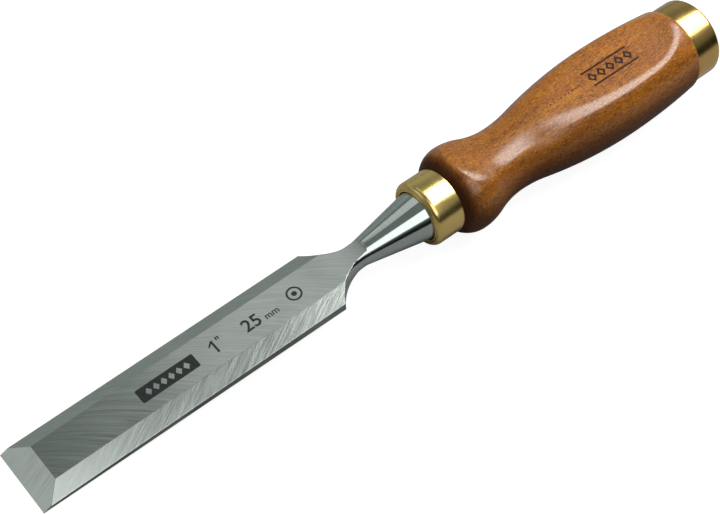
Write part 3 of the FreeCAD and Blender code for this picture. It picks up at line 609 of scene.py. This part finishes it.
RISE_RUN = TOP_END - TOP_RISE_START
RISE = TOP_END_HEIGHT - EDGE_THICKNESS - THICKNESS_SLOPE * TOP_RISE_START
FACE_TILT = math.atan(THICKNESS_SLOPE)
RISE_OFF_FACE = RISE * math.cos(FACE_TILT) - RISE_RUN * math.sin(FACE_TILT)
RISE_RADIUS = (RISE_RUN ** 2 + RISE ** 2) / (2 * RISE_OFF_FACE)
ELBOW = 2.0                         # the neck's axis bends this far to both sides of NECK
SHOULDER_BLEND = 0.2                # widths over which the shoulder and the neck's root run into
ROOT_BLEND = 0.1                    # the neck and the blade's back
SHOULDER_SEARCH = (108.0, 126.0)    # the blade's lines end between these positions
HIGHEST_FACE = 6.0                  # more than the top face's distance from the axis
STEP_ROUNDING = 0.55                # rounding of the step, and the largest share of its height
STEP_ROUNDED_SHARE = 0.7
STEP_LEAN = 0.02                    # keeps the step's rings apart where it has no height


def face_height(x):
    """Height of the ground top face."""
    if x <= TOP_RISE_START:
        return EDGE_THICKNESS + THICKNESS_SLOPE * x
    start = EDGE_THICKNESS + THICKNESS_SLOPE * TOP_RISE_START
    along = x - TOP_RISE_START + RISE_RADIUS * math.sin(FACE_TILT)
    return start + RISE_RADIUS * math.cos(FACE_TILT) - math.sqrt(RISE_RADIUS ** 2 - along ** 2)


def land_height(x):
    """Height of the narrow land on the blade's sides, below the side bevels."""
    return EDGE_THICKNESS - BEVEL_DROP + THICKNESS_SLOPE * x


def bevel_top(x):
    """Half of the top face's width before the shoulder."""
    return BLADE_HALF - (face_height(x) - land_height(x)) * BEVEL_WIDTH / BEVEL_DROP


def axis_place(u):
    """Height and slope of the shoulder's and bolster's common axis."""
    if u < NECK - ELBOW:
        return AXIS_HEIGHT - (NECK - u) * SHOULDER_TILT, SHOULDER_TILT
    if u > NECK + ELBOW:
        return AXIS_HEIGHT, 0.0
    rest = NECK + ELBOW - u
    return AXIS_HEIGHT - SHOULDER_TILT * rest ** 2 / (4 * ELBOW), SHOULDER_TILT * rest / (2 * ELBOW)


def neck_root(u):
    """Radius of the round neck where it grows out of the blade's back."""
    swell = ((NECK - NECK_START) ** 2) / (2 * (NECK_RADIUS - NECK_START_RADIUS))
    return NECK_RADIUS - (NECK - u) ** 2 / (2 * swell)


def turned_radius(u):
    """Radius of the turned shoulder, neck and bolster."""
    if u < NECK:
        along = (NECK - u) * math.hypot(1, SHOULDER_TILT)
        shoulder = SHOULDER_END_RADIUS + SHOULDER_RADIUS - math.sqrt(SHOULDER_RADIUS ** 2 - along ** 2)
        return -soft_min(-shoulder, -neck_root(u), SHOULDER_BLEND)
    rim = (BOLSTER_END - NECK, BOLSTER_RADIUS - NECK_RADIUS - NECK_HOLLOW)
    reach = math.hypot(*rim)
    angle = math.atan2(rim[1], rim[0]) - math.acos(NECK_HOLLOW / reach)
    touch = NECK + NECK_HOLLOW * math.cos(angle)
    if u < touch:
        return NECK_RADIUS + NECK_HOLLOW - math.sqrt(NECK_HOLLOW ** 2 - (u - NECK) ** 2)
    touch_radius = NECK_RADIUS + NECK_HOLLOW + NECK_HOLLOW * math.sin(angle)
    return mix(touch_radius, BOLSTER_RADIUS, (u - touch) / (BOLSTER_END - touch))


def on_ring(u, side, offset):
    """The point that lies side across and offset along the normal of the axis at u."""
    height, slope = axis_place(u)
    length = math.hypot(1, slope)
    return (u - offset * slope / length, side, height + offset / length)


def face_offset(u):
    """Distance from the axis to the top face, in the ring's plane."""
    def above(offset):
        x, _, z = on_ring(u, 0.0, offset)
        return z - face_height(min(x, TOP_END))
    return solve(above, 0.0, HIGHEST_FACE)


def back_offset(u):
    """Distance from the axis to the flat back, in the ring's plane."""
    height, slope = axis_place(u)
    return -height * math.hypot(1, slope)


def shoulder_start(y_of, z_of):
    """Where a line of the blade meets the turned shoulder: x, the place u on the axis, and the angle."""
    def outside(x):
        y, z = y_of(x), z_of(x)
        above_axis = z - AXIS_HEIGHT - (x - NECK) * SHOULDER_TILT
        u = x + SHOULDER_TILT * above_axis / (1 + SHOULDER_TILT ** 2)
        height, slope = axis_place(u)
        offset = math.hypot(z - height, x - u) * (1 if z > height else -1)
        return math.hypot(y, offset) - turned_radius(u), u, math.atan2(offset, y)
    x = solve(lambda x: outside(x)[0], *SHOULDER_SEARCH)
    _, u, angle = outside(x)
    return x, u, angle


LAND_LINES = [("land", share) for share in steps(0.0, 1.0, 4)[:-1]]
BEVEL_LINES = [("bevel", share) for share in steps(0.0, 1.0, 12)]
FACE_LINES = [("face", share) for share in steps(1.0, -1.0, 22)[1:-1]]


class BladeLine:
    """One of the lines that run the length of the blade's mesh, on the side y > 0 or mirrored."""

    def __init__(self, kind, share, sign=1):
        self.kind, self.share, self.sign = kind, share, sign
        land_steps, bevel_steps = len(LAND_LINES), len(BEVEL_LINES) - 1
        place = {"land": share * land_steps, "bevel": land_steps + share * bevel_steps}
        self.target = place.get(kind, 0.0) / (land_steps + bevel_steps)
        guide = {"face": ("bevel", 1.0), "back": ("land", 0.0)}.get(kind, (kind, share))
        self.edge_x, self.start_x, self.start_u, self.start_angle = self.guide_places(*guide)

    @staticmethod
    def guide_places(kind, share):
        """Where a line leaves the cutting bevel and where it meets the shoulder."""
        bevel_share = share if kind == "bevel" else 0.0
        edge_x = (EDGE_THICKNESS - BEVEL_DROP * (1 - bevel_share)) / (EDGE_SLOPE - THICKNESS_SLOPE)
        if kind == "bevel":
            start = shoulder_start(lambda x: mix(BLADE_HALF, bevel_top(x), share),
                                   lambda x: mix(land_height(x), face_height(x), share))
        else:
            start = shoulder_start(lambda x: BLADE_HALF, lambda x: share * land_height(x))
        return (edge_x,) + start

    def on_blade(self, x, ground):
        """Point on the blade's own faces. ground is True ahead of the cutting bevel's upper edge."""
        if self.kind == "back":
            return (x, self.share * BLADE_HALF, 0.0)
        if self.kind == "face":
            return (x, self.share * bevel_top(x), EDGE_SLOPE * x if ground else face_height(x))
        if self.kind == "land":
            top = EDGE_SLOPE * x if ground else land_height(x)
            return (x, self.sign * BLADE_HALF, self.share * top)
        y = mix(BLADE_HALF, bevel_top(x), self.share)
        z = EDGE_SLOPE * x if ground else mix(land_height(x), face_height(x), self.share)
        return (x, self.sign * y, z)

    def angle_at(self, u, progress):
        """Angle of a side line on the turned surface."""
        radius = turned_radius(u)
        low = math.asin(max(back_offset(u) / radius, -1.0))
        high = math.asin(min(face_offset(min(u, TOP_END)) / radius, 1.0))
        first_radius = turned_radius(self.start_u)
        first_low = math.asin(back_offset(self.start_u) / first_radius)
        first_high = math.asin(min(face_offset(self.start_u) / first_radius, 1.0))
        share = (self.start_angle - first_low) / (first_high - first_low)
        return mix(low, high, mix(share, self.target, progress))

    def on_shoulder(self, u, progress):
        """Point on the turned shoulder, the top face or the back, between the blade and the step."""
        radius = turned_radius(u)
        if self.kind == "face":
            offset = face_offset(u)
            return on_ring(u, self.share * math.sqrt(radius ** 2 - offset ** 2), offset)
        if self.kind == "back":
            offset = back_offset(u)
            x, y, _ = on_ring(u, self.share * math.sqrt(max(radius ** 2 - offset ** 2, 0.0)), offset)
            root = neck_root(u) if u < NECK else radius
            belly = math.sqrt(max(root ** 2 - y ** 2, 0.0))
            height = max(axis_place(u)[0], AXIS_HEIGHT - ROOT_BLEND)
            softness = ROOT_BLEND if u < NECK else 1e-6
            return (x, y, soft_min(0.0, height - belly, softness))
        angle = self.angle_at(u, progress)
        return on_ring(u, self.sign * radius * math.cos(angle), radius * math.sin(angle))


def blade_lines():
    """All lines round the blade: up one side, over the top face, down the other and back underneath."""
    left = [BladeLine(*line) for line in LAND_LINES + BEVEL_LINES]
    top = [BladeLine(*line) for line in FACE_LINES]
    right = [BladeLine(*line, sign=-1) for line in reversed(LAND_LINES + BEVEL_LINES)]
    sides = [line.on_blade(0.0, True)[1] for line in right + top[::-1] + left]
    inner = sorted({round(y, 6) for y in sides if abs(y) < BLADE_HALF - 1e-6})
    back = [BladeLine("back", y / BLADE_HALF) for y in inner]
    return left + top + right + back


def blade_rings(lines):
    """The blade's rings from the cutting edge to the tang's end, and the rows where its parts begin."""
    rings = []
    for share in steps(0.0, 1.0, 8):
        rings.append([line.on_blade(line.edge_x * share, True) for line in lines])
    blade_start = len(rings) - 1
    for share in steps(0.0, 1.0, 40)[1:]:
        rings.append([line.on_blade(mix(line.edge_x, line.start_x, share), False) for line in lines])
    shoulder_row = len(rings) - 1
    for share in steps(0.0, 1.0, 44)[1:]:
        rings.append([line.on_shoulder(mix(line.start_u, TOP_END, share), share) for line in lines])
    step_row = len(rings) - 1

    # The step: each line's angle and height there, then a rounded rise to the turned neck
    last = rings[-1]
    axis, _ = axis_place(TOP_END)
    angles = [math.atan2(z - axis, y) % math.tau for _, y, z in last]
    reaches = [math.hypot(y, z - axis) for _, y, z in last]
    radius = turned_radius(TOP_END)
    for share in steps(0.0, 1.0, 7):
        ring = []
        for angle, reach in zip(angles, reaches):
            rise = max(radius - reach, 0.0)
            rounding = min(STEP_ROUNDING, STEP_ROUNDED_SHARE * rise)
            turn = share * math.pi / 2
            u = TOP_END + rounding * (1 - math.cos(turn)) + STEP_LEAN * share
            r = turned_radius(u) - rounding * (1 - math.sin(turn))
            ring.append(on_ring(u, r * math.cos(angle), r * math.sin(angle)))
        rings.append(ring)

    # The round neck and bolster with its chamfered rim, and the square tang
    cone_start = TOP_END + STEP_ROUNDING + 0.1
    places = [(u, turned_radius(u)) for u in steps(cone_start, BOLSTER_END - RIM_CHAMFER, 26)]
    for u, r in places + [(BOLSTER_END, BOLSTER_RADIUS - RIM_CHAMFER)]:
        rings.append([on_ring(u, r * math.cos(angle), r * math.sin(angle)) for angle in angles])
    for u, half in ((BOLSTER_END, TANG_ROOT_HALF), (TANG_END, TANG_TIP_HALF)):
        ring = []
        for angle in angles:
            r = square_reach(angle, half)
            ring.append(on_ring(u, r * math.cos(angle), r * math.sin(angle)))
        rings.append(ring)
    return rings, blade_start, shoulder_row, step_row


# Numbers of the blade's materials, in the order of BLADE_MATERIALS
ON_FACE, ON_TURNED, ON_NEAR_BEVEL, ON_FAR_BEVEL, ON_CUTTING_BEVEL, ON_BACK, ON_LAND = range(7)
BLADE_MATERIALS = [FACE_STEEL, POLISHED, NEAR_BEVEL_STEEL, FAR_BEVEL_STEEL,
                   EDGE_STEEL, BACK_STEEL, LAND_STEEL]

# Edges sharper than this are eased. The easing fades out over TIP_FADE towards the cutting edge and over
# STEP_FADE towards the step, and edges within STEP_ZONE of the step aren't eased.
SHARP_ANGLE = math.radians(11.0)
TIP_FADE = 3.0
STEP_FADE = 1.5
STEP_ZONE = 0.3
CUTTING_EDGE_ZONE = 0.01            # the cutting edge is shaded sharp


def blade_mesh():
    """The whole forging, with its sharp edges marked for ease_edges()."""
    lines = blade_lines()
    rings, blade_start, shoulder_row, step_row = blade_rings(lines)

    def finish(row, column):
        """Number of the material of one face of the blade."""
        pair = (lines[column], lines[(column + 1) % len(lines)])
        kinds = {line.kind for line in pair}
        if "back" in kinds:
            return ON_TURNED if row >= step_row else ON_BACK
        if row >= step_row or (row >= shoulder_row and "face" not in kinds):
            return ON_TURNED
        if row < blade_start:
            return ON_CUTTING_BEVEL
        if "face" in kinds:
            return ON_FACE
        if "land" in kinds:
            return ON_LAND
        return ON_NEAR_BEVEL if pair[0].sign < 0 else ON_FAR_BEVEL

    bm = ring_mesh(rings, finish, front_cap=False)
    weight = bm.edges.layers.float.new("bevel_weight_edge")
    for edge in bm.edges:
        if edge.calc_face_angle() > SHARP_ANGLE:
            middle = (edge.verts[0].co.x + edge.verts[1].co.x) / 2 / MM
            to_step = abs(middle - TOP_END)
            share = min(middle / TIP_FADE, to_step / STEP_FADE, 1.0)
            edge[weight] = share if to_step > STEP_ZONE else 0.0
            edge.smooth = middle > CUTTING_EDGE_ZONE
    return bm


def ease_edges(piece, width, segments):
    """Rounds the marked edges and keeps the flat faces' normals flat."""
    bevel = piece.modifiers.new("eased_edges", "BEVEL")
    bevel.limit_method = "WEIGHT"
    bevel.width = width
    bevel.segments = segments
    bevel.use_clamp_overlap = False
    bevel.miter_outer = "MITER_ARC"
    normals = piece.modifiers.new("weighted_normals", "WEIGHTED_NORMAL")
    normals.keep_sharp = True
    normals.weight = 80


EDGE_EASING = 0.06
blade = add_piece("forged_blade", blade_mesh(), BLADE_MATERIALS, "blade")
ease_edges(blade, EDGE_EASING * MM, 2)


# ---------------------------------------------------------------------------------------- the marks

MARK_THICKNESS = 0.016
MARK_LIFT = 0.4 * MARK_THICKNESS
MARK_SAME_POINT = 0.001


def mark_piece(name, curve, material, height):
    """Lays a flat figure on the tool and gives it a little thickness.

    height(x) is the height in mm of the surface under it.
    """
    curve.extrude = MARK_THICKNESS / 2
    drawn = bpy.data.objects.new(name + "_drawing", curve)
    bpy.context.scene.collection.objects.link(drawn)
    mesh = bpy.data.meshes.new_from_object(drawn.evaluated_get(bpy.context.evaluated_depsgraph_get()))
    bpy.data.objects.remove(drawn)
    bm = bmesh.new()
    bm.from_mesh(mesh)
    bmesh.ops.remove_doubles(bm, verts=bm.verts, dist=MARK_SAME_POINT)
    bmesh.ops.triangulate(bm, faces=bm.faces)
    bmesh.ops.recalc_face_normals(bm, faces=bm.faces)
    for vert in bm.verts:
        x, y, z = vert.co
        vert.co = Vector((x, y, height(x) + z + MARK_LIFT)) * MM
    bpy.data.meshes.remove(mesh)
    piece = add_piece(name, bm, [material])
    for polygon in piece.data.polygons:
        polygon.use_smooth = False


def outline_curve(name, outlines):
    """A filled flat figure of closed outlines of (x, y) points. An outline inside another is a hole."""
    curve = bpy.data.curves.new(name, "CURVE")
    curve.dimensions = "2D"
    curve.fill_mode = "BOTH"
    for outline in outlines:
        spline = curve.splines.new("POLY")
        spline.points.add(len(outline) - 1)
        for target, (x, y) in zip(spline.points, outline):
            target.co = (x, y, 0.0, 1.0)
        spline.use_cyclic_u = True
    return curve


def writing(name, text, place, size):
    """Plain, slightly bold characters. Their base line starts at place. size is the line height."""
    curve = bpy.data.curves.new(name, "FONT")
    curve.body = text
    curve.size = size
    curve.resolution_u = 6
    curve.offset = 0.015 * size
    curve.offset_x, curve.offset_y = place
    return curve


def circle(x, y, radius, count=48):
    return arc_points((x, y), radius, 0.0, 360.0, count)[:-1]


def lozenge(x, y, half_length, half_width):
    return [(x + half_length, y), (x, y + half_width), (x - half_length, y), (x, y - half_width)]


def figure_one(x, y, height, thickness):
    """Outline of the number 1: an upright stem with a slanting flag."""
    flag = 0.28 * height
    return [(x, y), (x + thickness, y), (x + thickness, y + height), (x + 0.2 * thickness, y + height),
            (x - flag, y + height - flag), (x - flag, y + height - flag - thickness),
            (x, y + height - 1.3 * thickness)]


def bar(first, last, y, half_width, rounding):
    """Outline of a straight bar with round corners."""
    points = []
    for corner_x, corner_y, angle in ((last - rounding, y + half_width - rounding, 0.0),
                                      (first + rounding, y + half_width - rounding, 90.0),
                                      (first + rounding, y - half_width + rounding, 180.0),
                                      (last - rounding, y - half_width + rounding, 270.0)):
        points += arc_points((corner_x, corner_y), rounding, angle, angle + 90.0, 6)
    return points


WRITING_LINE = -2.4


def etched_marks():
    """A plain plate, the nominal width in both units and a ring with a dot, etched into the top face."""
    plate = [bar(42.6, 64.0, 0.0, half_width=2.75, rounding=0.5)]
    plate += [lozenge(x, 0.0, half_length=1.1, half_width=1.5) for x in steps(46.2, 60.4, 5)]
    ring = [circle(102.5, 0.0, radius) for radius in (2.75, 2.1, 0.95)]
    one = [figure_one(70.9, WRITING_LINE, height=5.0, thickness=0.75)]
    curves = [outline_curve("plate_mark", plate),
              outline_curve("ring_mark", ring),
              outline_curve("inch_number", one),
              writing("inch_sign", '"', (72.7, WRITING_LINE + 2.0), 4.6),
              writing("width_number", "25", (82.0, WRITING_LINE), 6.6),
              writing("width_unit", "mm", (89.8, WRITING_LINE), 3.5)]
    for curve in curves:
        mark_piece(curve.name, curve, ETCHED, face_height)


def burnt_marks():
    """Two lines with lozenges between them and a row of dots, burnt into the handle's upper flat."""
    def flat_surface(x):
        return AXIS_HEIGHT + flat_height(x)

    places = steps(234.4, 251.6, 4)
    ornament = [bar(232.0, 254.0, y, half_width=0.38, rounding=0.3) for y in (-3.4, 3.4)]
    ornament += [lozenge(x, 0.0, half_length=1.9, half_width=2.3) for x in places]
    ornament += [lozenge(x, 0.0, half_length=0.8, half_width=1.0) for x in places]
    dots = [circle(x, 0.0, radius=0.3, count=16) for x in steps(211.0, 228.0, 10)]
    for name, outlines in (("burnt_mark", ornament), ("burnt_dots", dots)):
        mark_piece(name, outline_curve(name, outlines), BURNT, flat_surface)


etched_marks()
burnt_marks()


# ----------------------------------------------------------------------------- floor, light, camera

def lowest_slope():
    """Slope of the floor that passes under the cutting edge and touches the handle from below."""
    return min(v.co.z / v.co.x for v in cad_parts["handle"].data.vertices)


def floor_paper():
    """White paper, bright to the camera only. Reflections and bounced light get a dark studio floor."""
    material, n = new_material("floor_paper")
    place = object_place(n)
    fibres = n.noise(place, 700.0, detail=3.0)
    paper = n.add("ShaderNodeBsdfPrincipled", {
        "Base Color": n.ramp(fibres, [(0.3, grey(0.21)), (0.7, grey(0.23))]), "Roughness": 0.95,
        "Emission Color": n.ramp(fibres, [(0.3, grey(0.995)), (0.7, grey(1.0))]),
        "Emission Strength": 0.93})
    studio = n.add("ShaderNodeBsdfPrincipled", {
        "Base Color": n.ramp(fibres, [(0.3, grey(0.30)), (0.7, grey(0.32))]), "Roughness": 0.95})
    seen = n.add("ShaderNodeMixShader", {"Fac": n.add("ShaderNodeLightPath").outputs["Is Camera Ray"],
                                         1: studio.outputs[0], 2: paper.outputs[0]})
    n.add("ShaderNodeOutputMaterial", {"Surface": seen.outputs[0]})
    return material


FLOOR_GAP = 0.02 * MM


def floor():
    """A wide sheet just under the tool."""
    slope = lowest_slope()
    half = 3.0
    bm = bmesh.new()
    corners = [(-half, -half), (half, -half), (half, half), (-half, half)]
    bm.faces.new([bm.verts.new((x, y, slope * x - FLOOR_GAP)) for x, y in corners])
    mesh = bpy.data.meshes.new("floor")
    bm.to_mesh(mesh)
    bm.free()
    piece = bpy.data.objects.new("floor", mesh)
    bpy.context.scene.collection.objects.link(piece)
    mesh.materials.append(floor_paper())


floor()


def softbox(name, centre, aim, width, height, radiance):
    """A rectangular light of a given brightness, as seen in a mirror."""
    data = bpy.data.lights.new(name, "AREA")
    data.shape = "RECTANGLE"
    data.size = width
    data.size_y = height
    data.energy = math.pi * width * height * radiance
    light = bpy.data.objects.new(name, data)
    light.location = centre
    light.rotation_euler = (Vector(aim) - Vector(centre)).to_track_quat("-Z", "Y").to_euler()
    light.visible_camera = False
    bpy.context.scene.collection.objects.link(light)
    return light


def ceiling_card(name, x_range, y_range, height, radiance):
    """A light that faces straight down and covers a rectangle above the tool."""
    centre = (sum(x_range) / 2, sum(y_range) / 2, height)
    below = (centre[0], centre[1], 0.0)
    width, depth = x_range[1] - x_range[0], y_range[1] - y_range[0]
    light = softbox(name, centre, below, width, depth, radiance)
    light.rotation_euler = (0.0, 0.0, 0.0)      # its sides stay parallel to X and Y


near_softbox = softbox("near_softbox", centre=(0.10, -0.347, 0.362), aim=(0.10, 0.0, 0.004),
                       width=0.44, height=0.344, radiance=1.5)
near_softbox.visible_diffuse = False
softbox("tip_card", centre=(-0.35, 0.30, 0.38), aim=(0.0, 0.0, 0.0),
        width=0.40, height=0.40, radiance=0.36)
CEILING = 0.50
ceiling_card("main_softbox", (0.36, 0.80), (-0.292, 0.17), CEILING, radiance=7.0)
ceiling_card("face_card", (0.17, 0.335), (0.11, 0.55), CEILING, radiance=0.48)
ceiling_card("bevel_card", (-0.05, 0.09), (-0.30, -0.08), CEILING, radiance=0.92)


def studio_world():
    """Dim studio walls in reflections: dark low on the near side, lighter low on the far side.

    The camera itself sees a pale backdrop.
    """
    world = bpy.data.worlds.new("studio")
    bpy.context.scene.world = world
    world.use_nodes = True
    n = Nodes(world.node_tree)
    _, y, z = n.parts(n.add("ShaderNodeTexCoord").outputs["Generated"])
    low = n.span(z, 0.20, 0.45, 1.0, 0.0)
    near = n.math("MULTIPLY", low, n.span(y, -0.6, 0.0, 1.0, 0.0))
    far = n.math("MULTIPLY", n.span(z, 0.25, 0.65, 1.0, 0.0), n.span(y, 0.0, 0.7))
    walls = n.blend(near, (0.18, 0.205, 0.19, 1), grey(0.015))
    walls = n.blend(far, walls, (0.32, 0.355, 0.335, 1))
    seen = n.blend(n.add("ShaderNodeLightPath").outputs["Is Camera Ray"], walls, grey(0.95))
    background = n.add("ShaderNodeBackground", {"Color": seen, "Strength": 1.0})
    n.add("ShaderNodeOutputWorld", {"Surface": background.outputs[0]})


studio_world()

CAMERA_PLACE = Vector((-0.04762, -0.22411, 0.38182))
VIEW_DIRECTION = Vector((0.37296, 0.4713, -0.79924)).normalized()
VIEW_RIGHT = Vector((0.77405, -0.63301, -0.01207)).normalized()
FOCAL_LENGTH = 72.2
SENSOR_WIDTH = 36.0


def add_camera():
    """The scene's camera, with a focal length in mm for its sensor width."""
    data = bpy.data.cameras.new("camera")
    data.lens = FOCAL_LENGTH
    data.sensor_width = SENSOR_WIDTH
    data.clip_start = 0.01
    camera = bpy.data.objects.new("camera", data)
    bpy.context.scene.collection.objects.link(camera)
    view_up = VIEW_RIGHT.cross(VIEW_DIRECTION).normalized()
    turn = Matrix((VIEW_RIGHT, view_up, -VIEW_DIRECTION)).transposed()
    camera.matrix_world = Matrix.Translation(CAMERA_PLACE) @ turn.to_4x4()
    bpy.context.scene.camera = camera


add_camera()
bpy.context.scene.view_settings.view_transform = "Standard"
